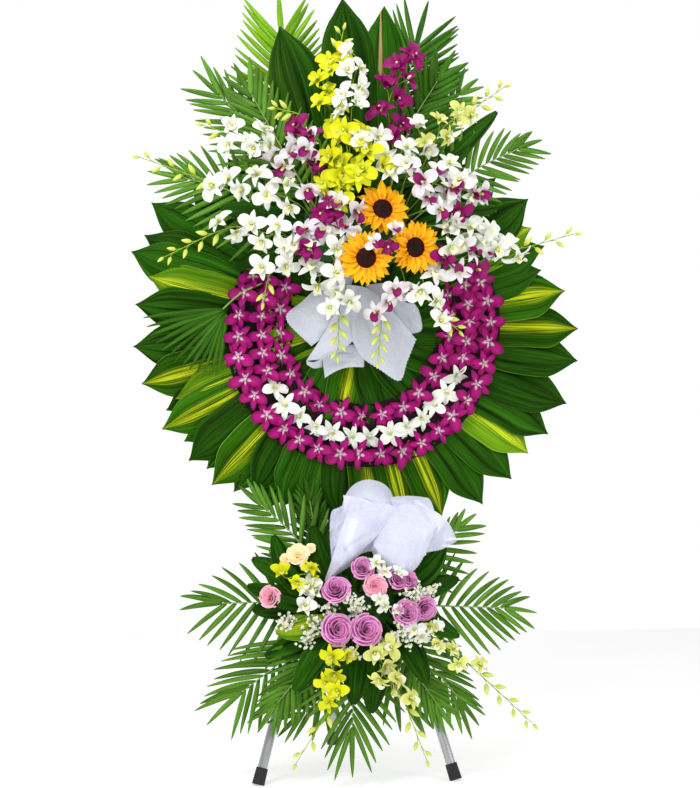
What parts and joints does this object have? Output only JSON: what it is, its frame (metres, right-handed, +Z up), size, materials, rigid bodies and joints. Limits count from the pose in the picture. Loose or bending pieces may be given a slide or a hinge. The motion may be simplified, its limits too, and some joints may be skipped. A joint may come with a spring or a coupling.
{
  "type": "standing funeral arrangement",
  "caption": "Standing funeral arrangement: a leaf-backed orchid wreath on a folding tripod stand, with a spray of flowers above its middle and a flower base in front of the legs.",
  "frame": {"origin": "centre of the object's box, on the floor that the feet stand on", "axes": "+Z up, +X to the right of someone who faces the flowers, -Y towards them; the rear leg is on the +Y side"},
  "size_m": [1.0064, 0.6296, 1.7991],
  "materials": {
    "steel": "brushed stainless tube",
    "zinc": "satin zinc-plated casting and bar",
    "rubber": "moulded, matt",
    "timber": "raw plywood and softwood",
    "tray": "thin moulded dark green tray",
    "foam": "soaked open-cell floral foam",
    "leaf": "waxy dark leaf",
    "striped_leaf": "waxy pleated leaf with a yellow-green centre",
    "frond": "waxy narrow leaflets",
    "purple_orchid": "soft petals with a pale throat",
    "white_orchid": "soft petals with a yellow-green throat",
    "yellow_orchid": "soft petals",
    "sunflower": "soft ray petals round a dark fuzzy centre",
    "rose": "soft curled petals",
    "paper": "thin nonwoven wrap"
  },
  "bodies": {
    "arrangement": {"broad_leaf_centre": "leaf", "broad_leaf_left": "leaf", "broad_leaf_right": "leaf", "crossbar": "zinc", "foot_cap_left": "rubber", "foot_cap_right": "rubber", "front_leg_left": "steel", "front_leg_right": "steel", "hinge_pin": "zinc", "hub": "zinc", "leaf_collar_back": "leaf", "leaf_collar_front": "striped_leaf", "lower_bow": "paper", "lower_foam": "foam", "lower_frond_foot": "frond", "lower_frond_foot_left": "frond", "lower_frond_foot_right": "frond", "lower_frond_left": "frond", "lower_frond_lower_left": "frond", "lower_frond_lower_right": "frond", "lower_frond_right": "frond", "lower_frond_upper_left": "frond", "lower_frond_upper_right": "frond", "lower_tray": "tray", "mast": "steel", "mast_block_lower": "timber", "mast_block_upper": "timber", "purple_orchid_spray": "purple_orchid", "purple_orchid_spray_left": "purple_orchid", "purple_orchids_inner": "purple_orchid", "purple_orchids_outer": "purple_orchid", "rose_bunch_left": "rose", "rose_bunch_right": "rose", "sunflower_left": "sunflower", "sunflower_right": "sunflower", "sunflower_upper": "sunflower", "upper_foam": "foam", "upper_frond_far_left": "frond", "upper_frond_far_right": "frond", "upper_frond_left": "frond", "upper_frond_right": "frond", "upper_frond_top_left": "frond", "upper_frond_top_right": "frond", "upper_paper": "paper", "upper_tray": "tray", "white_orchid_crescent": "white_orchid", "white_orchid_spray_centre": "white_orchid", "white_orchid_spray_left": "white_orchid", "white_orchid_spray_low_right": "white_orchid", "white_orchid_spray_lower_left": "white_orchid", "white_orchid_spray_right": "white_orchid", "white_orchid_spray_top": "white_orchid", "white_orchid_spray_upper_left": "white_orchid", "white_orchid_spray_upper_right": "white_orchid", "wreath_board": "timber", "yellow_orchid_spray": "yellow_orchid", "yellow_orchid_spray_low_centre": "yellow_orchid", "yellow_orchid_spray_low_left": "yellow_orchid"},
    "rear_leg": {"rear_leg": "steel", "foot_cap_rear": "rubber"}
  },
  "joints": [
    {"name": "rear_leg_fold", "type": "hinge", "parent": "arrangement", "child": "rear_leg", "pos_m": [0, 0.052, 0.765], "axis": [1, 0, 0], "range_deg": [-32, 0]}
  ]
}
